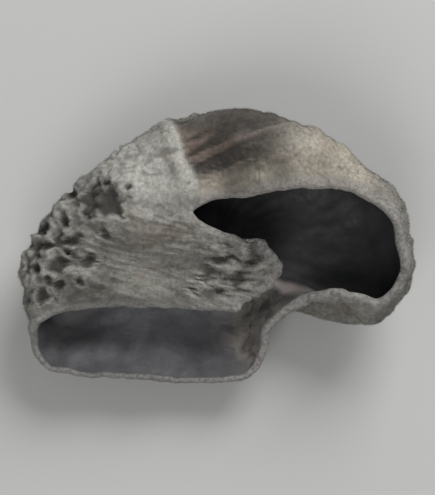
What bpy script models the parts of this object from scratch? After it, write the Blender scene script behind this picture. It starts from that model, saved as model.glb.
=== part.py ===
"""A dried wood ear mushroom: one thin, curled ear lying on the stub by which it grew on wood.

The origin is the middle of the flat cut under the stub. The open cup is at +X, the flap that has
folded over is at -X, the hood is at +Y and the bare shelf is at -Y. Lengths are in metres, except
in CAGE and the shape constants above it, which are in millimetres.
"""
import math

import bmesh
import bpy
import numpy as np

MM = 0.001

# Mesh density: columns go round the ear, rings go from the stub to the margin. The sheet is
# worked out on a closer grid than the mesh keeps, and relaxed there so that no fold is too tight.
COLUMNS = 92
RINGS = 17
COLUMNS_WORKED = 6
RINGS_WORKED = 4
RELAX_STEPS = 30
SETTLE_STEPS = 30
SECTION_SAMPLES = 400
COLUMN_SAMPLES = 4000

# Height of the sheet's rise at which a section counts as fully rolled over, and how far the
# roll then stands out past the place furthest out, as a share of the distance from the stub.
FULL_ROLL = 4.0
ROLL_BULGE = 0.03

# The stub and its flat cut.
CUT_RADIUS = 2.7
CUT_OVAL = 0.12
STUB_FLARE = 1.6

# Height of the sheet's middle layer over the stub, and of the bed around it.
ROOT_HEIGHT = 1.75
BED_HEIGHT = 1.35

# Thickness of the sheet at the stub, over most of its width, and at the margin.
ROOT_THICKNESS = 1.15
SHEET_THICKNESS = 0.72
MARGIN_THICKNESS = 0.58

# Waves that drying left in the sheet: how many go round the ear, and how far they reach.
BROAD_WAVES = 7
BROAD_WAVE_HEIGHT = 0.26
MARGIN_WAVES = 16
MARGIN_WAVE_HEIGHT = 0.08

# Shape of the ear at stations round its edge, anticlockwise from +X. Each row is the place
# furthest out (x, y), the height of the sheet below and above that place, the free edge
# (x, y, z), and how far the sheet between them bows towards +Y. Where the edge lies back towards
# the stub, the ear has rolled over.
CAGE = (
    (11.6, -1.6, 2.6, 6.4, 11.4, -1.8, 6.9, 0.0),    # east rim of the cup
    (10.7, 1.9, 2.5, 7.2, 10.2, 1.5, 7.8, 0.0),      # cup rim, north-east
    (7.9, 5.2, 2.3, 8.8, 7.6, 3.3, 8.7, 0.0),        # hood, east end
    (4.2, 7.1, 2.2, 9.3, 4.3, 3.4, 8.6, 0.0),        # hood, middle
    (0.8, 7.5, 2.2, 7.5, 1.7, 2.8, 7.0, 0.0),        # valley beside the hood
    (-2.4, 7.3, 2.2, 7.0, 0.0, 2.6, 6.5, 0.0),       # valley, foot of the ridge
    (-5.8, 5.5, 2.2, 7.8, -1.7, 1.7, 6.4, -1.1),     # ridge, and head of the crease
    (-8.2, 3.4, 2.2, 7.7, 0.4, 0.2, 5.6, -2.2),      # flap, north side
    (-9.8, 1.9, 2.2, 7.2, 3.5, -0.9, 4.9, -1.9),     # flap, tip over the cup
    (-10.9, 0.7, 2.2, 6.8, 2.5, -3.3, 4.8, 0.3),     # flap, crest
    (-11.4, -0.6, 2.2, 6.5, -1.4, -3.7, 5.0, 0.9),   # flap, west side
    (-11.5, -1.8, 2.1, 6.1, -5.4, -3.7, 5.2, 1.0),   # flap, south-west
    (-11.6, -2.9, 2.0, 5.8, -8.4, -4.0, 5.2, 0.8),   # end of the fold, above
    (-11.4, -3.9, 1.9, 5.0, -10.6, -4.6, 4.8, 0.3),  # end of the fold, turning down
    (-9.6, -5.1, 1.7, 2.4, -11.0, -6.3, 3.4, 0.0),   # shelf, west side
    (-6.8, -5.3, 1.5, 1.7, -9.3, -7.9, 2.8, 0.0),    # shelf, west corner
    (-2.9, -5.0, 1.4, 1.5, -4.2, -8.2, 2.5, 0.0),    # shelf, middle
    (0.8, -4.9, 1.4, 1.6, 1.9, -8.0, 2.7, 0.0),      # shelf, east end
    (2.7, -4.3, 1.5, 2.2, 3.1, -5.7, 3.1, 0.0),      # notch between the shelf and the cup
    (5.6, -4.3, 1.9, 3.2, 5.6, -3.5, 4.4, 0.0),      # low lip of the cup
    (8.4, -4.7, 2.2, 4.8, 7.8, -3.0, 5.5, 0.0),      # lip, east end
    (10.8, -3.8, 2.5, 5.7, 10.4, -3.9, 6.2, 0.0),    # south-east corner of the cup
)


def smooth_step(x):
    x = np.clip(x, 0.0, 1.0)
    return x * x * (3.0 - 2.0 * x)


def round_the_ear(stations, u):
    """A closed cubic spline through the stations, read at u (one whole turn is 1)."""
    count = len(stations)
    weights = np.zeros((count, count))
    for i in range(count):
        weights[i, i] = 4.0 / 6.0
        weights[i, (i + 1) % count] = 1.0 / 6.0
        weights[i, (i - 1) % count] = 1.0 / 6.0
    control = np.linalg.solve(weights, np.asarray(stations))
    place = np.asarray(u) * count
    span = np.floor(place).astype(int)
    x = (place - span)[:, None]
    blends = (
        (1.0 - x) ** 3,
        3.0 * x ** 3 - 6.0 * x ** 2 + 4.0,
        -3.0 * x ** 3 + 3.0 * x ** 2 + 3.0 * x + 1.0,
        x ** 3,
    )
    return sum(b * control[(span + k - 1) % count] for k, b in enumerate(blends)) / 6.0


def section_weights(points, samples):
    """Weights of a clamped cubic B-spline's control points at evenly spaced samples."""
    knots = np.concatenate([np.zeros(3), np.linspace(0.0, 1.0, points - 2), np.ones(3)])
    t = np.linspace(0.0, 1.0 - 1e-9, samples)[:, None]
    basis = ((knots[:-1] <= t) & (t < knots[1:])).astype(float)
    for degree in range(1, 4):
        left = knots[degree:-1] - knots[:-degree - 1]
        right = knots[degree + 1:] - knots[1:-degree]
        rise = (t - knots[:-degree - 1]) / np.where(left > 0.0, left, 1.0) * (left > 0.0)
        fall = (knots[degree + 1:] - t) / np.where(right > 0.0, right, 1.0) * (right > 0.0)
        basis = rise * basis[:, :-1] + fall * basis[:, 1:]
    return basis


def even_columns(count):
    """Places round the ear, in turns, that share out the length of its outline and edge."""
    u = np.linspace(0.0, 1.0, COLUMN_SAMPLES + 1)
    steps = np.abs(np.diff(round_the_ear(CAGE, u), axis=0))
    travelled = np.concatenate([[0.0], np.cumsum(np.linalg.norm(steps, axis=1))])
    wanted = np.arange(count) / count * travelled[-1]
    return np.interp(wanted, travelled, u)


def middle_layer(u):
    """Points from the stub to the margin along each section, as (sample, column, xyz)."""
    reach_x, reach_y, low, high, edge_x, edge_y, edge_z, bow = round_the_ear(CAGE, u).T
    reach = np.stack([reach_x, reach_y], axis=1)
    edge = np.stack([edge_x, edge_y], axis=1)
    sideways = np.stack([0.0 * bow, bow], axis=1)
    bulge = 1.0 + ROLL_BULGE * np.clip((high - low) / FULL_ROLL, 0.0, 1.0)[:, None]

    def control(plan, height):
        return np.column_stack([plan, np.broadcast_to(height, len(u))])

    cage = np.stack([
        control(0.0 * reach, ROOT_HEIGHT),
        control(0.25 * reach, ROOT_HEIGHT),
        control(0.56 * reach, BED_HEIGHT),
        control(0.90 * reach, low),
        control(bulge * reach, 0.5 * (low + high)),
        control(reach + 0.12 * (edge - reach), high),
        control(reach + 0.65 * (edge - reach) + sideways, 0.5 * (high + edge_z)),
        control(edge, edge_z),
    ])
    weights = section_weights(len(cage), SECTION_SAMPLES)
    return np.einsum("sc,cux->sux", weights, cage)


def rings_from_cut(sections, cut):
    """Read each section at the rings from the edge of the cut outwards, as (ring, column)."""
    steps = np.linalg.norm(np.diff(sections, axis=0), axis=2)
    travelled = np.vstack([np.zeros(steps.shape[1]), np.cumsum(steps, axis=0)])
    samples = np.arange(len(sections))
    rings = (RINGS - 1) * RINGS_WORKED + 1
    grid = np.empty((rings, sections.shape[1], 3))
    lengths = np.empty(grid.shape[:2])
    for column in range(sections.shape[1]):
        start = np.interp(cut[column], travelled[:, column], samples)
        places = np.linspace(start, samples[-1], rings)
        lengths[:, column] = np.interp(places, samples, travelled[:, column])
        for axis in range(3):
            grid[:, column, axis] = np.interp(places, samples, sections[:, column, axis])
    return grid, lengths


def relax(grid, steps):
    """Ease the sheet towards its neighbours, which opens out folds that are too tight."""
    for _ in range(steps):
        beside = 0.5 * (np.roll(grid, 1, axis=1) + np.roll(grid, -1, axis=1))
        grid = 0.5 * (grid + beside)
        grid[1:-1] = 0.5 * grid[1:-1] + 0.25 * (grid[:-2] + grid[2:])
    return grid


def normals_of(grid):
    """Unit normals on the smooth, spore-bearing side, which faces up over the stub."""
    along = np.gradient(grid, axis=0)
    around = np.roll(grid, -1, axis=1) - np.roll(grid, 1, axis=1)
    normal = np.cross(along, around)
    return normal / np.linalg.norm(normal, axis=2, keepdims=True)


def drying_waves(fraction):
    """How far the sheet stands off its even shape, as (ring, column)."""
    columns = fraction.shape[1]
    turn = 2.0 * math.pi * np.arange(columns)[None, :] / columns
    broad = np.sin(BROAD_WAVES * turn + 2.5 * fraction + 0.8 * np.sin(2.0 * turn))
    fine = np.sin(MARGIN_WAVES * turn - 3.0 * fraction + 1.3 * np.sin(3.0 * turn + 1.0))
    growth = smooth_step((fraction - 0.35) / 0.5)
    return growth * (BROAD_WAVE_HEIGHT * broad + MARGIN_WAVE_HEIGHT * growth * fine)


def thickness_of(fraction):
    root = smooth_step(1.0 - fraction / 0.3)
    margin = smooth_step((fraction - 0.86) / 0.14)
    return (SHEET_THICKNESS + root * (ROOT_THICKNESS - SHEET_THICKNESS)
            + margin * (MARGIN_THICKNESS - SHEET_THICKNESS))


def ear_grids():
    """The smooth and the felted side, and the row down the middle of the round margin."""
    u = even_columns(COLUMNS * COLUMNS_WORKED)
    cut = CUT_RADIUS * (1.0 + CUT_OVAL * np.cos(4.0 * math.pi * u))
    grid, lengths = rings_from_cut(middle_layer(u), cut)
    fraction = lengths / lengths[-1]
    grid = relax(grid, RELAX_STEPS)
    grid += normals_of(grid) * drying_waves(fraction)[:, :, None]
    grid = relax(grid, SETTLE_STEPS)
    normal = normals_of(grid)
    half = 0.5 * thickness_of(fraction)[:, :, None]
    smooth_side = grid + normal * half
    felted_side = grid - normal * half
    felted_side[:, :, 2] *= smooth_step((lengths - cut) / STUB_FLARE)

    tangent = np.roll(grid[-1], -1, axis=0) - np.roll(grid[-1], 1, axis=0)
    outward = np.cross(tangent, normal[-1])
    outward /= np.linalg.norm(outward, axis=1, keepdims=True)
    margin = grid[-1] + outward * half[-1]
    columns = slice(None, None, COLUMNS_WORKED)
    rings = slice(None, None, RINGS_WORKED)
    return smooth_side[rings, columns], felted_side[rings, columns], margin[columns]


def add_row(mesh, points):
    return [mesh.verts.new(point * MM) for point in points]


def bridge(mesh, inner, outer):
    for i in range(len(inner)):
        j = (i + 1) % len(inner)
        mesh.faces.new((inner[i], outer[i], outer[j], inner[j]))


def build_ear():
    smooth_side, felted_side, margin = ear_grids()
    mesh = bmesh.new()
    top_rows = [add_row(mesh, row) for row in smooth_side]
    rows = top_rows + [add_row(mesh, margin)]
    rows += [add_row(mesh, row) for row in felted_side[::-1]]
    for inner, outer in zip(rows, rows[1:]):
        bridge(mesh, inner, outer)

    # The flat cut closes the stub, and a fan of faces closes the smooth side above it.
    mesh.faces.new(rows[-1][::-1])
    crown = mesh.verts.new((0.0, 0.0, (ROOT_HEIGHT + 0.5 * ROOT_THICKNESS) * MM))
    first = top_rows[0]
    for i in range(len(first)):
        mesh.faces.new((crown, first[i], first[(i + 1) % len(first)]))

    data = bpy.data.meshes.new("wood_ear")
    bmesh.ops.recalc_face_normals(mesh, faces=mesh.faces)
    mesh.to_mesh(data)
    mesh.free()
    data.shade_smooth()
    ear = bpy.data.objects.new("wood_ear", data)
    bpy.context.scene.collection.objects.link(ear)
    return ear


def dried_ear_material():
    material = bpy.data.materials.new("dried_wood_ear")
    material.use_nodes = True
    shader = material.node_tree.nodes["Principled BSDF"]
    shader.inputs["Base Color"].default_value = (0.060, 0.058, 0.057, 1.0)
    shader.inputs["Roughness"].default_value = 0.62
    shader.inputs["Metallic"].default_value = 0.0
    return material


def main():
    for old in list(bpy.data.objects):
        bpy.data.objects.remove(old, do_unlink=True)
    ear = build_ear()
    ear.data.materials.append(dried_ear_material())


main()
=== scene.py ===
"""A dried wood ear mushroom on a pale table, seen from straight above.

The ear is one thin sheet that has curled up as it dried: its smooth, spore-bearing side lines the
cup and the bare shelf, and its felted back shows on the hood and on the flap that folded over.
Lengths in the shape constants are in millimetres; everything handed to Blender is in metres.
"""
import math

import bpy
import numpy as np
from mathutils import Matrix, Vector, noise


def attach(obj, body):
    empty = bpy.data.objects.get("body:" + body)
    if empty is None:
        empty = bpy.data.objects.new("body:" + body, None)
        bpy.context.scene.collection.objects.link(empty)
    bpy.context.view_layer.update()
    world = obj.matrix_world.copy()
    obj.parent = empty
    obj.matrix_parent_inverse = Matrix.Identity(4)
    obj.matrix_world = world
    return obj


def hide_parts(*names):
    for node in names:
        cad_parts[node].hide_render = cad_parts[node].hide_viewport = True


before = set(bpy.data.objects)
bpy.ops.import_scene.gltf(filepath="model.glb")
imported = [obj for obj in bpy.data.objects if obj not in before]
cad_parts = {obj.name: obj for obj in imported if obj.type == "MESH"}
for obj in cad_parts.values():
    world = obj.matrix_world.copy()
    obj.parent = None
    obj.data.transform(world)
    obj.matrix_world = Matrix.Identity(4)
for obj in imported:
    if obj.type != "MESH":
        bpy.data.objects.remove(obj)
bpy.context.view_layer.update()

MM = 0.001

# The sheet's shape, as the part has it.
COLUMNS = 552
RINGS = 65
RELAX_STEPS = 30
SETTLE_STEPS = 30
SECTION_SAMPLES = 400
COLUMN_SAMPLES = 4000
FULL_ROLL = 4.0
ROLL_BULGE = 0.03
CUT_RADIUS = 2.7
CUT_OVAL = 0.12
STUB_FLARE = 1.6
ROOT_HEIGHT = 1.75
BED_HEIGHT = 1.35
ROOT_THICKNESS = 1.15
SHEET_THICKNESS = 0.72
MARGIN_THICKNESS = 0.58
BROAD_WAVES = 7
BROAD_WAVE_HEIGHT = 0.26
MARGIN_WAVES = 16
MARGIN_WAVE_HEIGHT = 0.08

CAGE = (
    (11.6, -1.6, 2.6, 6.4, 11.4, -1.8, 6.9, 0.0),    # east rim of the cup
    (10.7, 1.9, 2.5, 7.2, 10.2, 1.5, 7.8, 0.0),      # cup rim, north-east
    (7.9, 5.2, 2.3, 8.8, 7.6, 3.3, 8.7, 0.0),        # hood, east end
    (4.2, 7.1, 2.2, 9.3, 4.3, 3.4, 8.6, 0.0),        # hood, middle
    (0.8, 7.5, 2.2, 7.5, 1.7, 2.8, 7.0, 0.0),        # valley beside the hood
    (-2.4, 7.3, 2.2, 7.0, 0.0, 2.6, 6.5, 0.0),       # valley, foot of the ridge
    (-5.8, 5.5, 2.2, 7.8, -1.7, 1.7, 6.4, -1.1),     # ridge, and head of the crease
    (-8.2, 3.4, 2.2, 7.7, 0.4, 0.2, 5.6, -2.2),      # flap, north side
    (-9.8, 1.9, 2.2, 7.2, 3.5, -0.9, 4.9, -1.9),     # flap, tip over the cup
    (-10.9, 0.7, 2.2, 6.8, 2.5, -3.3, 4.8, 0.3),     # flap, crest
    (-11.4, -0.6, 2.2, 6.5, -1.4, -3.7, 5.0, 0.9),   # flap, west side
    (-11.5, -1.8, 2.1, 6.1, -5.4, -3.7, 5.2, 1.0),   # flap, south-west
    (-11.6, -2.9, 2.0, 5.8, -8.4, -4.0, 5.2, 0.8),   # end of the fold, above
    (-11.4, -3.9, 1.9, 5.0, -10.6, -4.6, 4.8, 0.3),  # end of the fold, turning down
    (-9.6, -5.1, 1.7, 2.4, -11.0, -6.3, 3.4, 0.0),   # shelf, west side
    (-6.8, -5.3, 1.5, 1.7, -9.3, -7.9, 2.8, 0.0),    # shelf, west corner
    (-2.9, -5.0, 1.4, 1.5, -4.2, -8.2, 2.5, 0.0),    # shelf, middle
    (0.8, -4.9, 1.4, 1.6, 1.9, -8.0, 2.7, 0.0),      # shelf, east end
    (2.7, -4.3, 1.5, 2.2, 3.1, -5.7, 3.1, 0.0),      # notch between the shelf and the cup
    (5.6, -4.3, 1.9, 3.2, 5.6, -3.5, 4.4, 0.0),      # low lip of the cup
    (8.4, -4.7, 2.2, 4.8, 7.8, -3.0, 5.5, 0.0),      # lip, east end
    (10.8, -3.8, 2.5, 5.7, 10.4, -3.9, 6.2, 0.0),    # south-east corner of the cup
)

# The finer mesh that is shown.
SHOWN_COLUMNS = 396
SHOWN_RINGS = 113
MARGIN_ROWS = 5
CROWN_ROWS = 8

# The ridge where the flap stands over the valley, from the crease to the top of the ear.
RIDGE_FOOT = np.array([-1.0, 1.2])
RIDGE_HEAD = np.array([-2.5, 6.6])
RIDGE_HEIGHT = 0.30
RIDGE_DROP = 0.28

# The head of the crease between the flap and the hood, where the sheet stays calm.
CREASE = (-0.6, 0.9, 6.0)

# Low crumples that bend the whole sheet: everywhere, then what each kind of place adds.
CRUMPLE_SIZE = 2.8
CRUMPLE_HEIGHT = 0.10
RAGGED_CRUMPLE = 0.16
TIP_CRUMPLE = 0.05
MARGIN_CRUMPLE = 0.22

# How far the margin's outline wanders: in fine nicks, in broad bays, and on the torn tip.
NICK_DEPTH = 0.14
BAY_DEPTH = 0.16
TIP_TEAR_DEPTH = 0.75

# Relief on the felted back. Veins come in so many waves round the ear.
LUMP_HEIGHT = 0.50
CREASE_HEIGHT = 0.30
VEIN_HEIGHT = 0.20
COARSE_VEINS = 24.0
NARROW_VEINS = 43.0
ROUGHNESS_HEIGHT = 0.045

# Deep pits in the felt, each as x, y and radius: at the curled west end and over the lobe, then on
# the flap's tip. They are shifted by up to about PIT_SHIFT so that they lie unevenly.
PITS = (
    (-9.0, 1.2, 0.45), (-10.5, 0.8, 0.45), (-10.1, -0.4, 0.42), (-8.5, -0.1, 0.45),
    (-7.5, -1.0, 0.40), (-9.3, -1.5, 0.55), (-8.2, -2.4, 0.42), (-10.6, -1.8, 0.45),
    (-9.3, -2.9, 0.42), (-10.5, -3.2, 0.42), (-6.7, 0.5, 0.30), (-5.3, 3.2, 0.26),
    (-5.8, 5.3, 0.22), (-8.6, 2.9, 0.30), (-9.9, -2.3, 0.30), (-8.9, -0.8, 0.30),
    (-0.4, -1.9, 0.42), (0.6, -1.1, 0.38), (1.4, -2.3, 0.50), (2.3, -1.3, 0.36),
    (0.3, -3.0, 0.40), (2.1, -3.2, 0.40), (-1.4, -2.9, 0.32),
)
PIT_DEPTH = 0.34
PIT_RIM = 0.16
PIT_SHIFT = 0.30

# A wider pit on the lobe that has a low mound in the middle: x, y and radius.
CRATER = (-6.9, 2.4, 1.15)

# The streaks that run up the valley: their angle from +X, how they bend, their size and height.
STREAK_ANGLE = math.radians(36.0)
STREAK_BEND = 0.035
STREAK_WIDTH = 0.52
STREAK_LENGTH = 6.0
STREAK_HEIGHT = 0.24

# Relief on the smooth side: broad swells, waves of fine radial puckers, and a pinched fold under
# the flap's tip, with where that fold starts and ends.
SWELL_HEIGHT = 0.07
PUCKER_HEIGHT = 0.016
PUCKERS = 30.0
FOLD_START = np.array([1.8, -1.9])
FOLD_END = np.array([5.7, -3.3])
FOLD_HEIGHT = 0.42
FOLD_WIDTH = 0.42

# The felt: how many hairs, their usual length and width, and how deep they are rooted.
HAIRS = 150000
HAIR_LENGTH = 0.13
HAIR_WIDTH = 0.018
HAIR_ROOT = 0.02
HAIR_SEED = 11

# The room, in metres: the table's half width, and the camera's height and lens.
TABLE_REACH = 0.6
CAMERA_PLACE = (0.0001, -0.0004, 0.170)
CAMERA_LENS = 200.0


def smooth_step(x):
    x = np.clip(x, 0.0, 1.0)
    return x * x * (3.0 - 2.0 * x)


def round_the_ear(stations, u):
    """A closed cubic spline through the stations, read at u (one whole turn is 1)."""
    count = len(stations)
    weights = np.zeros((count, count))
    for i in range(count):
        weights[i, i] = 4.0 / 6.0
        weights[i, (i + 1) % count] = 1.0 / 6.0
        weights[i, (i - 1) % count] = 1.0 / 6.0
    control = np.linalg.solve(weights, np.asarray(stations))
    place = np.asarray(u) * count
    span = np.floor(place).astype(int)
    x = (place - span)[:, None]
    blends = (
        (1.0 - x) ** 3,
        3.0 * x ** 3 - 6.0 * x ** 2 + 4.0,
        -3.0 * x ** 3 + 3.0 * x ** 2 + 3.0 * x + 1.0,
        x ** 3,
    )
    return sum(b * control[(span + k - 1) % count] for k, b in enumerate(blends)) / 6.0


def section_weights(points, samples):
    """Weights of a clamped cubic B-spline's control points at evenly spaced samples."""
    knots = np.concatenate([np.zeros(3), np.linspace(0.0, 1.0, points - 2), np.ones(3)])
    t = np.linspace(0.0, 1.0 - 1e-9, samples)[:, None]
    basis = ((knots[:-1] <= t) & (t < knots[1:])).astype(float)
    for degree in range(1, 4):
        left = knots[degree:-1] - knots[:-degree - 1]
        right = knots[degree + 1:] - knots[1:-degree]
        rise = (t - knots[:-degree - 1]) / np.where(left > 0.0, left, 1.0) * (left > 0.0)
        fall = (knots[degree + 1:] - t) / np.where(right > 0.0, right, 1.0) * (right > 0.0)
        basis = rise * basis[:, :-1] + fall * basis[:, 1:]
    return basis


def even_columns(count):
    """Places round the ear, in turns, that share out the length of its outline and edge."""
    u = np.linspace(0.0, 1.0, COLUMN_SAMPLES + 1)
    steps = np.abs(np.diff(round_the_ear(CAGE, u), axis=0))
    travelled = np.concatenate([[0.0], np.cumsum(np.linalg.norm(steps, axis=1))])
    wanted = np.arange(count) / count * travelled[-1]
    return np.interp(wanted, travelled, u)


def middle_layer(u):
    """Points from the stub to the margin along each section, as (sample, column, xyz)."""
    reach_x, reach_y, low, high, edge_x, edge_y, edge_z, bow = round_the_ear(CAGE, u).T
    reach = np.stack([reach_x, reach_y], axis=1)
    edge = np.stack([edge_x, edge_y], axis=1)
    sideways = np.stack([0.0 * bow, bow], axis=1)
    bulge = 1.0 + ROLL_BULGE * np.clip((high - low) / FULL_ROLL, 0.0, 1.0)[:, None]

    def control(plan, height):
        return np.column_stack([plan, np.broadcast_to(height, len(u))])

    cage = np.stack([
        control(0.0 * reach, ROOT_HEIGHT),
        control(0.25 * reach, ROOT_HEIGHT),
        control(0.56 * reach, BED_HEIGHT),
        control(0.90 * reach, low),
        control(bulge * reach, 0.5 * (low + high)),
        control(reach + 0.12 * (edge - reach), high),
        control(reach + 0.65 * (edge - reach) + sideways, 0.5 * (high + edge_z)),
        control(edge, edge_z),
    ])
    return np.einsum("sc,cux->sux", section_weights(len(cage), SECTION_SAMPLES), cage)


def rings_from_cut(sections, cut):
    """Read each section at the rings from the edge of the cut outwards, as (ring, column)."""
    steps = np.linalg.norm(np.diff(sections, axis=0), axis=2)
    travelled = np.vstack([np.zeros(steps.shape[1]), np.cumsum(steps, axis=0)])
    samples = np.arange(len(sections))
    grid = np.empty((RINGS, sections.shape[1], 3))
    lengths = np.empty(grid.shape[:2])
    for column in range(sections.shape[1]):
        start = np.interp(cut[column], travelled[:, column], samples)
        places = np.linspace(start, samples[-1], RINGS)
        lengths[:, column] = np.interp(places, samples, travelled[:, column])
        for axis in range(3):
            grid[:, column, axis] = np.interp(places, samples, sections[:, column, axis])
    return grid, lengths


def relax(grid, steps):
    """Ease the sheet towards its neighbours, which opens out folds that are too tight."""
    for _ in range(steps):
        beside = 0.5 * (np.roll(grid, 1, axis=1) + np.roll(grid, -1, axis=1))
        grid = 0.5 * (grid + beside)
        grid[1:-1] = 0.5 * grid[1:-1] + 0.25 * (grid[:-2] + grid[2:])
    return grid


def normals_of(grid):
    """Unit normals on the smooth, spore-bearing side, which faces up over the stub."""
    along = np.gradient(grid, axis=0)
    around = np.roll(grid, -1, axis=1) - np.roll(grid, 1, axis=1)
    normal = np.cross(along, around)
    return normal / np.linalg.norm(normal, axis=2, keepdims=True)


def drying_waves(fraction):
    """How far the sheet stands off its even shape, as (ring, column)."""
    columns = fraction.shape[1]
    turn = 2.0 * math.pi * np.arange(columns)[None, :] / columns
    broad = np.sin(BROAD_WAVES * turn + 2.5 * fraction + 0.8 * np.sin(2.0 * turn))
    fine = np.sin(MARGIN_WAVES * turn - 3.0 * fraction + 1.3 * np.sin(3.0 * turn + 1.0))
    growth = smooth_step((fraction - 0.35) / 0.5)
    return growth * (BROAD_WAVE_HEIGHT * broad + MARGIN_WAVE_HEIGHT * growth * fine)


def thickness_of(fraction):
    root = smooth_step(1.0 - fraction / 0.3)
    margin = smooth_step((fraction - 0.86) / 0.14)
    return (SHEET_THICKNESS + root * (ROOT_THICKNESS - SHEET_THICKNESS)
            + margin * (MARGIN_THICKNESS - SHEET_THICKNESS))


def resample(values, rings, columns):
    """Read a closed (ring, column) grid at more rings and other columns, smoothly along both."""
    values = values.reshape(values.shape[0], values.shape[1], -1)

    def cubic(rows, place):
        span = np.floor(place).astype(int)
        x = (place - span)[:, None, None]
        p0, p1, p2, p3 = (rows[span + k] for k in range(4))
        return p1 + 0.5 * x * (p2 - p0 + x * (2 * p0 - 5 * p1 + 4 * p2 - p3
                                              + x * (3 * (p1 - p2) + p3 - p0)))

    ends = np.concatenate([2 * values[:1] - values[1:2], values, 2 * values[-1:] - values[-2:-1],
                           3 * values[-1:] - 2 * values[-2:-1]])
    taller = cubic(ends, np.linspace(0.0, values.shape[0] - 1.0, rings))
    across = taller.transpose(1, 0, 2)
    wrapped = np.concatenate([across[-1:], across, across[:3]])
    wider = cubic(wrapped, np.arange(columns) / columns * len(across))
    return wider.transpose(1, 0, 2).squeeze()


def noise_at(points, size, octaves=3, offset=0.0):
    """Smooth noise of about -1 to 1, with features about size mm across.

    The offset picks another stretch of the noise, so that no two uses of it look alike.
    """
    flat = points.reshape(-1, 3) / size + offset
    values = [noise.fractal(Vector(p), 0.9, 2.1, octaves) for p in flat]
    return np.array(values).reshape(points.shape[:-1])


def near(points, centre, size):
    """1 at the centre, falling off smoothly within about size mm along each axis."""
    away = (points - np.array(centre)) / np.array(size)
    return np.exp(-np.sum(away ** 2, axis=-1))


def sheet_grid():
    """The sheet's middle layer, its share of the way to the margin, and how far past the cut."""
    u = even_columns(COLUMNS)
    cut = CUT_RADIUS * (1.0 + CUT_OVAL * np.cos(4.0 * math.pi * u))
    grid, lengths = rings_from_cut(middle_layer(u), cut)
    fraction = lengths / lengths[-1]
    grid = relax(grid, RELAX_STEPS)
    grid += normals_of(grid) * drying_waves(fraction)[:, :, None]
    grid = relax(grid, SETTLE_STEPS)
    past_cut = lengths - cut
    return (resample(grid, SHOWN_RINGS, SHOWN_COLUMNS),
            resample(fraction, SHOWN_RINGS, SHOWN_COLUMNS),
            resample(past_cut, SHOWN_RINGS, SHOWN_COLUMNS))


grid, fraction, past_cut = sheet_grid()
turn = 2.0 * math.pi * np.arange(SHOWN_COLUMNS)[None, :] / SHOWN_COLUMNS

# Places on the sheet with a look of their own. The first is the whole upper layer, and the second
# the same with an uneven, blotchy edge.
upper = smooth_step((grid[:, :, 2] - 3.6) / 1.2)
patchy = smooth_step((grid[:, :, 2] - 3.6 + 1.6 * noise_at(grid, 2.2, 3, 41.0)) / 2.4)
ragged = upper * np.clip(1.25 * near(grid, (-10.2, -0.8, 5.5), (2.3, 3.2, 9.0))
                         + 0.55 * near(grid, (-7.4, 2.6, 6.5), (1.7, 1.7, 9.0)), 0.0, 1.0)
tip = upper * np.clip(1.5 * near(grid, (1.5, -2.0, 5.0), (2.5, 2.4, 4.0)), 0.0, 1.0)


def from_ridge():
    """How far each point is east of the ridge's wandering line, and how far north of its foot."""
    up_ridge = (RIDGE_HEAD - RIDGE_FOOT) / np.linalg.norm(RIDGE_HEAD - RIDGE_FOOT)
    past_foot = grid[:, :, :2] - RIDGE_FOOT
    east = past_foot[:, :, 0] * up_ridge[1] - past_foot[:, :, 1] * up_ridge[0]
    return east + 0.30 * noise_at(grid, 2.6, 3, 6.0), past_foot @ up_ridge


east, north = from_ridge()
on_ridge = upper * smooth_step((north + 0.4) / 0.9) * smooth_step((7.2 - north) / 2.4)
on_ridge *= smooth_step((1.0 - fraction) / 0.05)
west_slope = np.exp(-(east / 0.9) ** 2)
east_slope = np.exp(-(east / 0.40) ** 2)
foot_of_drop = smooth_step(east / 0.80) * np.exp(-(east / 2.4) ** 2)
ridge = on_ridge * (RIDGE_HEIGHT * np.where(east < 0.0, west_slope, east_slope)
                    - RIDGE_DROP * foot_of_drop)
# Painted highlight: a pale line along the ridge's crest, where it catches the light.
crest_highlight = on_ridge * np.exp(-((east + 0.20) / 0.50) ** 2)

# The valley's west edge is sharp at the ridge and fades out lower down the back.
below = smooth_step((6.4 - grid[:, :, 2]) / 3.0)
valley = patchy * smooth_step(east / (0.50 + 2.2 * below) + 0.4)
valley *= smooth_step((5.6 - grid[:, :, 0]) / 2.6)
valley *= smooth_step((grid[:, :, 1] - 0.6) / 1.0)
# The hood, whose tan is partly the felt's own warmer tone and partly a painted highlight.
hood = patchy * np.clip(1.6 * near(grid, (7.0, 4.6, 8.5), (2.7, 2.3, 6.0)), 0.0, 1.0)
hood = np.maximum(hood, 0.85 * valley * smooth_step((fraction - 0.86) / 0.07))


def streaks_at(points):
    """1 on the pale streaks that run up the valley and 0 in the furrows between them."""
    across = points[:, :, 1] * math.cos(STREAK_ANGLE) - points[:, :, 0] * math.sin(STREAK_ANGLE)
    along = points[:, :, 0] * math.cos(STREAK_ANGLE) + points[:, :, 1] * math.sin(STREAK_ANGLE)
    across = across + STREAK_BEND * along ** 2
    place = np.stack([along / STREAK_LENGTH, across / STREAK_WIDTH, 0.0 * along], axis=-1)
    return smooth_step(0.5 + 1.60 * noise_at(place, 1.0, 3, 8.3))


streaks = streaks_at(grid)

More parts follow.
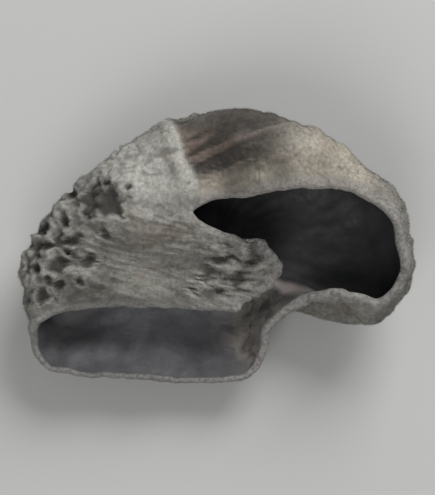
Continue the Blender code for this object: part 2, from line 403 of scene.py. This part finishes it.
# Low crumples bend the whole sheet, and nicks move its margin in and out.
bend = CRUMPLE_HEIGHT + RAGGED_CRUMPLE * ragged + TIP_CRUMPLE * tip
bend *= smooth_step((fraction - 0.3) / 0.25)
bend += (MARGIN_CRUMPLE * smooth_step((fraction - 0.72) / 0.28)
         * (1.0 - near(grid, CREASE, (2.2, 2.0, 4.0))))
grid = grid + normals_of(grid) * (bend * noise_at(grid, CRUMPLE_SIZE, 2, 3.1))[:, :, None]
tangent = np.roll(grid[-1], -1, axis=0) - np.roll(grid[-1], 1, axis=0)
outward = np.cross(tangent, normals_of(grid)[-1])
outward /= np.linalg.norm(outward, axis=1, keepdims=True)
nicks = (NICK_DEPTH * noise_at(grid[-1], 1.1, 3, 4.0) + BAY_DEPTH * noise_at(grid[-1], 3.5, 2, 24.0)
         + TIP_TEAR_DEPTH * tip[-1] * noise_at(grid[-1], 1.5, 3, 34.0))
nicks *= 1.0 - near(grid[-1], CREASE, (2.4, 1.4, 4.0))
grid = grid + (smooth_step((fraction - 0.88) / 0.12) * nicks)[:, :, None] * outward

normal = normals_of(grid)
half = 0.5 * thickness_of(fraction)[:, :, None]
smooth_side = grid + normal * half
felted_side = grid - normal * half

# More places with a look of their own, on the bent sheet.
lower = smooth_step((4.6 - grid[:, :, 2]) / 0.8)
furrow = 1.0 - streaks * (1.0 - 0.75 * smooth_step((grid[:, :, 1] - 5.6) / 1.4))
# The upper lobe's felt is paler: partly its own tone, partly painted light where it faces the
# light.
pale_and_lit_lobe = upper * np.clip(near(grid, (-4.6, 3.8, 7.0), (2.6, 3.2, 8.0)), 0.0, 1.0)
# Spore bloom on the shelf, and also painted light there, while outside it the smooth side is
# painted near black as the shaded hollow of the cup.
bloom_and_light = near(grid, (-4.0, -4.6, 2.5), (8.5, 3.9, 3.0))
stub = smooth_step(1.0 - past_cut / 0.8 + 0.3 * noise_at(grid, 0.8, 2, 51.0))
near_margin = smooth_step((fraction - 0.93) / 0.07)

# Relief on the felted back: lumps and pits, creases, radial veins and a fine roughness.
warp = np.stack([noise_at(felted_side, 1.3, 2, k) for k in (11.0, 12.0, 13.0)], axis=-1)
lumps = noise_at(felted_side + 0.35 * warp, 1.05, 2, 5.3)
creases = np.abs(noise_at(felted_side * (0.8, 1.0, 1.0) + 0.4 * warp, 2.1, 2, 15.0))
creases = np.minimum(creases, 0.6)
fade = 0.35 + 0.65 * smooth_step(0.5 + 1.2 * noise_at(grid, 3.6, 2, 21.0))
coarse = 1.0 - np.abs(np.sin(COARSE_VEINS * turn + 3.0 * noise_at(grid, 4.5, 2, 7.0))) ** 0.7
narrow = 1.0 - np.abs(np.sin(NARROW_VEINS * turn + 4.5 * noise_at(grid, 3.0, 3, 17.0))) ** 0.7
veins = (0.6 * coarse + 0.4 * narrow - 0.35) * fade * smooth_step(fraction / 0.25)
rough = noise_at(felted_side, 0.50, 3, 1.0)
torn = np.clip(1.0 + 0.80 * noise_at(felted_side, 0.9, 3, 71.0), 0.45, 1.8)


def from_pit(x, y, radius):
    """Distance from a pit's middle in radii, uneven so that the pit has a torn outline."""
    away = felted_side[:, :, :2] + PIT_SHIFT * warp[:, :, :2] - (x, y)
    return np.linalg.norm(away, axis=-1) / radius * torn


pits = np.zeros(fraction.shape)
pit_rims = np.zeros(fraction.shape)
for pit in PITS:
    distance = from_pit(*pit)
    pits = np.maximum(pits, upper * np.exp(-distance ** 4))
    pit_rims = np.maximum(pit_rims, upper * np.exp(-((distance - 1.35) / 0.35) ** 2))
distance = from_pit(*CRATER)
pits = np.maximum(pits, upper * np.exp(-((distance - 0.55) / 0.34) ** 2))
pit_rims = np.maximum(pit_rims, upper * np.exp(-((distance - 1.25) / 0.22) ** 2))

pitted = np.clip(ragged + tip, 0.0, 1.0)
plain = 1.0 - np.clip(pitted + valley, 0.0, 1.0)
felt_relief = (LUMP_HEIGHT * pitted * np.clip(lumps, -0.4, 0.6)
               - PIT_DEPTH * pits + PIT_RIM * pit_rims
               + CREASE_HEIGHT * (0.25 + 0.75 * plain) * (creases - 0.2)
               + VEIN_HEIGHT * (0.3 + 0.7 * plain) * veins
               + ROUGHNESS_HEIGHT * rough + ridge + STREAK_HEIGHT * valley * (streaks - 0.5))
felt_relief *= 1.0 - 0.5 * smooth_step((fraction - 0.9) / 0.1)

# Relief on the smooth side, where the fold runs on from the cup's lip.
fold_line = (FOLD_END - FOLD_START) / np.linalg.norm(FOLD_END - FOLD_START)
past_start = smooth_side[:, :, :2] - FOLD_START
down_fold = past_start @ fold_line
fold_north = past_start[:, :, 1] * fold_line[0] - past_start[:, :, 0] * fold_line[1]
fold_north = fold_north + 0.25 * noise_at(smooth_side, 1.6, 2, 61.0)
fold = lower * smooth_step((down_fold + 1.2) / 1.2) * smooth_step((5.4 - down_fold) / 1.6)
fold *= np.exp(-(fold_north / FOLD_WIDTH) ** 2)
scuffed = lower * np.clip(1.5 * near(grid, (2.7, -5.3, 2.4), (2.2, 2.5, 3.0)), 0.0, 1.0)
scuffed *= smooth_step(0.3 - fold_north / 0.8)
puckers = np.sin(PUCKERS * turn + 5.0 * noise_at(grid, 4.0, 3, 9.0)) * fade
puckers *= smooth_step(fraction / 0.35)
smooth_relief = (SWELL_HEIGHT * noise_at(smooth_side, 2.2, 3, 2.0) + PUCKER_HEIGHT * puckers
                 + FOLD_HEIGHT * fold)

felted_side = felted_side - normal * felt_relief[:, :, None]
smooth_side = smooth_side + normal * smooth_relief[:, :, None]
felted_side[:, :, 2] *= smooth_step(past_cut / STUB_FLARE)

# How hollow and how raised the felt is: its colour paints shade into the hollows and a highlight
# onto the raised felt.
shaded_hollows = pitted * smooth_step((0.05 - lumps) / 0.75)
shaded_hollows = np.clip(shaded_hollows + 0.95 * pits + 0.55 * smooth_step((0.10 - creases) / 0.10), 0.0, 1.0)
lit_hills = np.clip(pitted * smooth_step((lumps - 0.1) / 0.5) + 0.5 * creases + 0.65 * pit_rims
                + 0.6 * plain * np.clip(veins, 0.0, 1.0), 0.0, 1.0)
FELT_VALUES = {
    "ragged": ragged,
    "valley": valley,
    "furrow": furrow,
    "hood": hood,
    "shaded_hollows": shaded_hollows,
    "lit_hills": lit_hills,
    "crest_highlight": crest_highlight,
    "pale_and_lit_lobe": pale_and_lit_lobe,
    "tip": tip,
}

# The round margin between the two sides.
margin_rows = []
for k in range(1, MARGIN_ROWS + 1):
    angle = math.pi * k / (MARGIN_ROWS + 1)
    margin_rows.append(0.5 * (1.0 + math.cos(angle)) * smooth_side[-1]
                       + 0.5 * (1.0 - math.cos(angle)) * felted_side[-1]
                       + outward * half[-1] * math.sin(angle))

# Rows that close the smooth side over the stub.
crown = np.array([0.0, 0.0, ROOT_HEIGHT + 0.5 * ROOT_THICKNESS])
crown_rows = []
for k in range(1, CROWN_ROWS + 1):
    row = crown + (smooth_side[0] - crown) * k / (CROWN_ROWS + 1)
    row[:, 2] += 0.05 * noise_at(row, 2.2, 3, 2.0)
    crown_rows.append(row)


def make_mesh(name, vertices, faces):
    data = bpy.data.meshes.new(name)
    data.from_pydata((vertices * MM).tolist(), [], faces)
    data.update()
    piece = bpy.data.objects.new(name, data)
    bpy.context.scene.collection.objects.link(piece)
    return piece


def build_ear():
    rows = np.array(crown_rows + list(smooth_side) + margin_rows + list(felted_side[::-1]))
    count, columns = rows.shape[:2]
    vertices = np.concatenate([rows.reshape(-1, 3), [crown], [[0.0, 0.0, 0.0]]])
    i = np.arange(columns)
    j = (i + 1) % columns
    starts = (np.arange(count - 1) * columns)[:, None]
    quads = np.stack([starts + i, starts + columns + i, starts + columns + j, starts + j], axis=-1)
    top, bottom = count * columns, count * columns + 1
    last = (count - 1) * columns
    faces = quads.reshape(-1, 4).tolist()
    faces += np.column_stack([np.full(columns, top), i, j]).tolist()
    faces += np.column_stack([np.full(columns, bottom), last + j, last + i]).tolist()
    piece = make_mesh("ear", vertices, faces)
    piece.data.shade_smooth()
    return piece


def add_attribute(piece, name, values):
    attribute = piece.data.attributes.new(name, "FLOAT", "POINT")
    attribute.data.foreach_set("value", np.ascontiguousarray(values, dtype=np.float32))


def over_the_mesh(smooth_value, margin_value, felt_value):
    """One value for each vertex of the ear, in its order, from values on each part."""
    flat = np.concatenate([
        np.broadcast_to(smooth_value[:1], (CROWN_ROWS, SHOWN_COLUMNS)),
        smooth_value,
        np.broadcast_to(margin_value, (MARGIN_ROWS, SHOWN_COLUMNS)),
        felt_value[::-1],
    ]).ravel()
    return np.concatenate([flat, [flat[0], flat[-1]]])


def mark_ear(piece):
    """Give the ear the values that its material reads."""
    zero = np.zeros_like(fraction)
    across_margin = np.linspace(0.0, 1.0, MARGIN_ROWS + 2)[1:-1, None] + zero[:1]
    values = {name: (value, value[-1:], value) for name, value in FELT_VALUES.items()}
    values["felt"] = (zero, smooth_step(across_margin * 2.0), zero + 1.0)
    values["rim"] = (0.35 * near_margin ** 3, zero[:1] + 1.0, near_margin)
    values["stub"] = (zero, zero[:1], stub)
    values["bloom_and_light"] = (bloom_and_light, bloom_and_light[-1:], bloom_and_light)
    values["fold"] = (fold, zero[:1], zero)
    values["scuffed"] = (scuffed, zero[:1], zero)
    for name, parts in values.items():
        add_attribute(piece, name, over_the_mesh(*parts))


def grow_hairs():
    """Short hairs over the felted back, leaning a little towards the margin."""
    chance = np.random.default_rng(HAIR_SEED)
    corner = felted_side
    beside = np.roll(felted_side, -1, axis=1)
    area = np.linalg.norm(np.cross(beside[:-1] - corner[:-1], corner[1:] - corner[:-1]), axis=-1)
    area = area * smooth_step((past_cut[:-1] - 0.2) / 1.2) * (1.0 - 0.6 * shaded_hollows[:-1])
    chosen = np.searchsorted(np.cumsum(area.ravel()) / area.sum(), chance.random(HAIRS))
    ring, column = np.divmod(np.minimum(chosen, area.size - 1), SHOWN_COLUMNS)
    a, b = chance.random((2, HAIRS, 1))

    def read(values):
        step = (column + 1) % SHOWN_COLUMNS
        return ((1 - a) * ((1 - b) * values[ring, column] + b * values[ring, step])
                + a * ((1 - b) * values[ring + 1, column] + b * values[ring + 1, step]))

    def unit(vectors):
        return vectors / np.linalg.norm(vectors, axis=-1, keepdims=True)

    out = unit(-read(normals_of(felted_side)))
    lean = unit(read(np.gradient(felted_side, axis=0)))
    tuft = 0.5 * noise_at(felted_side, 0.7, 2, 31.0)
    stray = chance.normal(size=(HAIRS, 3)) * 0.42
    direction = unit(out + lean * (0.55 + read(tuft[:, :, None])) + stray)
    length = HAIR_LENGTH * (0.55 + 0.9 * chance.random((HAIRS, 1)))
    width = HAIR_WIDTH * (0.7 + 0.6 * chance.random((HAIRS, 1)))
    sideways = unit(np.cross(direction, chance.normal(size=(HAIRS, 3)))) * 0.5 * width
    faces_out = np.sum(np.cross(sideways, direction) * out, axis=-1, keepdims=True)
    sideways *= np.sign(faces_out)
    root = read(felted_side) - out * HAIR_ROOT
    vertices = np.stack([root - sideways, root + sideways, root + direction * length], axis=1)
    faces = np.arange(3 * HAIRS).reshape(-1, 3).tolist()
    piece = make_mesh("felt", vertices.reshape(-1, 3), faces)
    piece.data.shade_smooth()
    piece.data.normals_split_custom_set_from_vertices(np.repeat(out, 3, axis=0).tolist())
    for name, values in FELT_VALUES.items():
        add_attribute(piece, name, np.repeat(values[ring, column], 3))
    add_attribute(piece, "shade", np.repeat(chance.random(HAIRS), 3))
    return piece


class Nodes:
    """Short ways to add shader nodes to one material."""

    def __init__(self, name):
        self.material = bpy.data.materials.new(name)
        self.material.use_nodes = True
        self.tree = self.material.node_tree
        self.shader = self.tree.nodes["Principled BSDF"]
        self.where = self.add("ShaderNodeTexCoord").outputs["Object"]

    def add(self, kind):
        return self.tree.nodes.new(kind)

    def put(self, value, socket):
        if hasattr(value, "is_output"):
            self.tree.links.new(value, socket)
        elif isinstance(value, tuple) and len(value) == 3 and socket.type == "RGBA":
            socket.default_value = (*value, 1.0)
        else:
            socket.default_value = value

    def attribute(self, name):
        node = self.add("ShaderNodeAttribute")
        node.attribute_name = name
        return node.outputs["Fac"]

    def noise(self, size, detail=3.0, rough=0.55, distortion=0.0, where=None):
        """Noise with features about size mm across."""
        node = self.add("ShaderNodeTexNoise")
        self.put(where or self.where, node.inputs["Vector"])
        node.inputs["Scale"].default_value = 1.0 / (size * MM)
        node.inputs["Detail"].default_value = detail
        node.inputs["Roughness"].default_value = rough
        node.inputs["Distortion"].default_value = distortion
        return node.outputs["Fac"]

    def span(self, value, low, high, to_low=0.0, to_high=1.0):
        node = self.add("ShaderNodeMapRange")
        node.interpolation_type = "SMOOTHSTEP"
        self.put(value, node.inputs["Value"])
        for name, number in (("From Min", low), ("From Max", high),
                             ("To Min", to_low), ("To Max", to_high)):
            node.inputs[name].default_value = number
        return node.outputs["Result"]

    def math(self, operation, a, b=0.0):
        node = self.add("ShaderNodeMath")
        node.operation = operation
        self.put(a, node.inputs[0])
        self.put(b, node.inputs[1])
        return node.outputs[0]

    def mix(self, share, a, b, kind="MIX"):
        node = self.add("ShaderNodeMix")
        node.data_type = "RGBA"
        node.blend_type = kind
        self.put(share, node.inputs[0])
        self.put(a, node.inputs[6])
        self.put(b, node.inputs[7])
        return node.outputs[2]

    def blend(self, share, a, b):
        """A number that goes from a to b as share goes from 0 to 1."""
        node = self.add("ShaderNodeMix")
        node.data_type = "FLOAT"
        self.put(share, node.inputs[0])
        self.put(a, node.inputs[2])
        self.put(b, node.inputs[3])
        return node.outputs[0]

    def bump(self, height, depth, strength=1.0, after=None):
        """Relief of depth mm from a height of 0 to 1."""
        node = self.add("ShaderNodeBump")
        node.inputs["Strength"].default_value = strength
        node.inputs["Distance"].default_value = depth * MM
        self.put(height, node.inputs["Height"])
        if after is not None:
            self.put(after, node.inputs["Normal"])
        return node.outputs["Normal"]


def felt_colour(n):
    """The colour of the felted back, shared by the skin and the hairs on it."""
    broad = n.noise(2.4, 4.0, 0.6)
    fine = n.noise(0.40, 5.0, 0.65)
    olive = n.mix(n.span(broad, 0.36, 0.64), (0.092, 0.090, 0.077), (0.200, 0.196, 0.172))
    olive = n.mix(n.span(fine, 0.42, 0.62, 0.0, 0.60), olive, (0.215, 0.210, 0.186))
    pale = n.mix(n.span(fine, 0.38, 0.62), (0.345, 0.340, 0.306), (0.425, 0.420, 0.384))
    # Paler felt on the upper lobe, partly its own tone and partly painted light.
    olive = n.mix(n.attribute("pale_and_lit_lobe"), olive, pale)
    blotch = n.span(n.noise(4.2, 4.0, 0.6, 0.8), 0.50, 0.66, 0.0, 0.75)
    olive = n.mix(blotch, olive, n.mix(fine, (0.070, 0.055, 0.044), (0.200, 0.165, 0.135)))

    dark_brown = n.mix(n.span(fine, 0.35, 0.65), (0.022, 0.019, 0.016), (0.045, 0.038, 0.032))
    red_brown = n.mix(n.span(broad, 0.35, 0.65), (0.108, 0.074, 0.058), (0.165, 0.132, 0.111))
    brown = n.mix(n.span(n.attribute("furrow"), 0.15, 0.85), red_brown, dark_brown)
    colour = n.mix(n.attribute("valley"), olive, brown)

    # The hood's tan: partly the felt's own warmer tone, partly a painted highlight on the lit outer
    # rim.
    tan_and_highlight = n.mix(n.span(broad, 0.35, 0.65), (0.270, 0.240, 0.190), (0.370, 0.336, 0.276))
    colour = n.mix(n.attribute("hood"), colour, tan_and_highlight)
    mottle = n.mix(n.span(fine, 0.42, 0.58), (0.048, 0.045, 0.039), (0.170, 0.166, 0.146))
    colour = n.mix(n.span(n.attribute("tip"), 0.1, 0.9, 0.0, 0.85), colour, mottle)
    shaded = n.mix(n.span(broad, 0.3, 0.7), (0.090, 0.087, 0.078), (0.165, 0.162, 0.148))
    colour = n.mix(n.span(n.attribute("ragged"), 0.1, 0.9, 0.0, 0.6), colour, shaded)
    # Painted highlight: the raised felt, pit rims and veins are made paler, as if they catch the
    # light.
    colour = n.mix(n.span(n.attribute("lit_hills"), 0.1, 0.9, 0.0, 0.55), colour, (0.330, 0.325, 0.295))
    # Painted highlight along the ridge's crest.
    colour = n.mix(n.span(n.attribute("crest_highlight"), 0.1, 0.9, 0.0, 0.8), colour, (0.450, 0.445, 0.400))
    # Painted shade: the felt is darkened in its hollows, pits and crease bottoms.
    return n.mix(n.span(n.attribute("shaded_hollows"), 0.1, 1.0, 0.0, 0.90), colour,
                 (0.016, 0.015, 0.013))


def ear_material():
    n = Nodes("dried_wood_ear")
    cloud = n.noise(3.0, 4.0, 0.6, 0.5)
    grain = n.noise(0.22, 4.0, 0.6)
    # Painted shade and light: the smooth side is near black in the cup's hollow and lighter slate
    # on the shelf, a shaded and a lit copy of one surface, with some real spore bloom.
    shaded_black = n.mix(n.span(cloud, 0.35, 0.65), (0.0075, 0.0075, 0.008), (0.014, 0.014, 0.0155))
    slate = n.mix(n.span(cloud, 0.38, 0.66), (0.071, 0.071, 0.074), (0.112, 0.112, 0.118))
    slate = n.mix(n.attribute("bloom_and_light"), shaded_black, slate)
    slate = n.mix(n.span(grain, 0.52, 0.72, 0.0, 0.35), slate, (0.016, 0.015, 0.015))
    worn = n.noise(0.85, 4.0, 0.65, 0.6)
    brown = n.mix(n.span(worn, 0.34, 0.64), (0.032, 0.028, 0.025), (0.110, 0.099, 0.087))
    slate = n.mix(n.span(n.attribute("scuffed"), 0.1, 0.9, 0.0, 0.85), slate, brown)
    # The fold under the flap's tip: its own pinkish brown, made lighter as painted light where it
    # lies in shade.
    slate = n.mix(n.span(n.attribute("fold"), 0.2, 0.9, 0.0, 0.80), slate, (0.250, 0.218, 0.202))
    skin = n.mix(n.span(grain, 0.3, 0.7, 0.20, 0.55), felt_colour(n), (0.035, 0.031, 0.027))
    colour = n.mix(n.attribute("felt"), slate, skin)
    edge = n.mix(n.span(grain, 0.3, 0.7), (0.085, 0.078, 0.072), (0.235, 0.225, 0.215))
    edge = n.mix(n.span(n.attribute("bloom_and_light"), 0.2, 0.8, 0.0, 0.75), edge, (0.075, 0.074, 0.075))
    colour = n.mix(n.span(n.attribute("rim"), 0.3, 1.0, 0.0, 0.7), colour, edge)
    cloudy = n.span(n.noise(1.1, 5.0, 0.65, 0.6), 0.35, 0.65)
    pith = n.mix(cloudy, (0.060, 0.044, 0.032), (0.165, 0.125, 0.088))
    specks = n.span(n.noise(0.16, 4.0, 0.7), 0.45, 0.70, 0.0, 0.6)
    pith = n.mix(specks, pith, (0.028, 0.021, 0.016))
    colour = n.mix(n.attribute("stub"), colour, pith)
    n.put(colour, n.shader.inputs["Base Color"])

    satin = n.span(n.noise(0.5, 4.0, 0.6), 0.3, 0.7, 0.50, 0.64)
    n.put(n.blend(n.attribute("felt"), satin, 0.92), n.shader.inputs["Roughness"])
    smooth_bump = n.bump(n.noise(0.18, 4.0, 0.6), 0.022, 0.7)
    felt_bump = n.bump(n.noise(0.10, 4.0, 0.7), 0.05, 0.8)
    relief = n.add("ShaderNodeMix")
    relief.data_type = "VECTOR"
    n.put(n.attribute("felt"), relief.inputs[0])
    n.put(smooth_bump, relief.inputs[4])
    n.put(felt_bump, relief.inputs[5])
    n.put(relief.outputs[1], n.shader.inputs["Normal"])
    n.shader.inputs["Sheen Weight"].default_value = 0.08
    n.shader.inputs["Sheen Roughness"].default_value = 0.45
    n.shader.inputs["Specular IOR Level"].default_value = 0.28
    return n.material


def hair_material():
    n = Nodes("felt_hairs")
    colour = felt_colour(n)
    shade = n.attribute("shade")
    colour = n.mix(n.span(shade, 0.0, 0.5, 0.45, 0.0), colour, (0.045, 0.041, 0.036))
    colour = n.mix(n.span(shade, 0.6, 1.0, 0.0, 0.25), colour, (0.450, 0.440, 0.400))
    n.put(colour, n.shader.inputs["Base Color"])
    n.put(n.span(shade, 0.0, 1.0, 0.70, 0.95), n.shader.inputs["Roughness"])
    n.shader.inputs["Specular IOR Level"].default_value = 0.25
    n.shader.inputs["Sheen Weight"].default_value = 0.35
    n.shader.inputs["Sheen Roughness"].default_value = 0.40
    n.shader.inputs["Sheen Tint"].default_value = (0.85, 0.84, 0.78, 1.0)
    return n.material


ear = build_ear()
mark_ear(ear)
felt = grow_hairs()
ear.data.materials.append(ear_material())
felt.data.materials.append(hair_material())
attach(ear, "root")
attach(felt, "root")
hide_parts("wood_ear")

# A pale table, soft daylight from the north-east and a camera straight above.
table = bpy.data.objects.new("table", bpy.data.meshes.new("table"))
corners = [(x * TABLE_REACH, y * TABLE_REACH, 0.0) for x, y in ((-1, -1), (1, -1), (1, 1), (-1, 1))]
table.data.from_pydata(corners, [], [(0, 1, 2, 3)])
bpy.context.scene.collection.objects.link(table)
pale = Nodes("pale_table")
pale.shader.inputs["Base Color"].default_value = (0.305, 0.305, 0.295, 1.0)
pale.shader.inputs["Roughness"].default_value = 0.8
table.data.materials.append(pale.material)

world = bpy.data.worlds.new("soft_room")
world.use_nodes = True
world.node_tree.nodes["Background"].inputs["Color"].default_value = (0.95, 0.97, 1.0, 1.0)
world.node_tree.nodes["Background"].inputs["Strength"].default_value = 0.38
bpy.context.scene.world = world
bpy.context.scene.view_settings.view_transform = "Standard"


def soft_light(name, place, target, size, power):
    light = bpy.data.lights.new(name, "AREA")
    light.size = size
    light.energy = power
    lamp = bpy.data.objects.new(name, light)
    lamp.location = place
    lamp.rotation_euler = (Vector(target) - Vector(place)).to_track_quat("-Z", "Y").to_euler()
    bpy.context.scene.collection.objects.link(lamp)
    return lamp


middle = (0.0, 0.0, 0.004)
soft_light("window", (0.10, 0.21, 0.18), middle, 0.15, 1.25)
soft_light("overhead", (-0.05, -0.18, 0.25), middle, 0.20, 0.58)

camera = bpy.data.cameras.new("camera")
camera.lens = CAMERA_LENS
camera.sensor_width = 36.0
camera.clip_start = 0.01
camera.clip_end = 5.0
eye = bpy.data.objects.new("camera", camera)
eye.location = CAMERA_PLACE
bpy.context.scene.collection.objects.link(eye)
bpy.context.scene.camera = eye
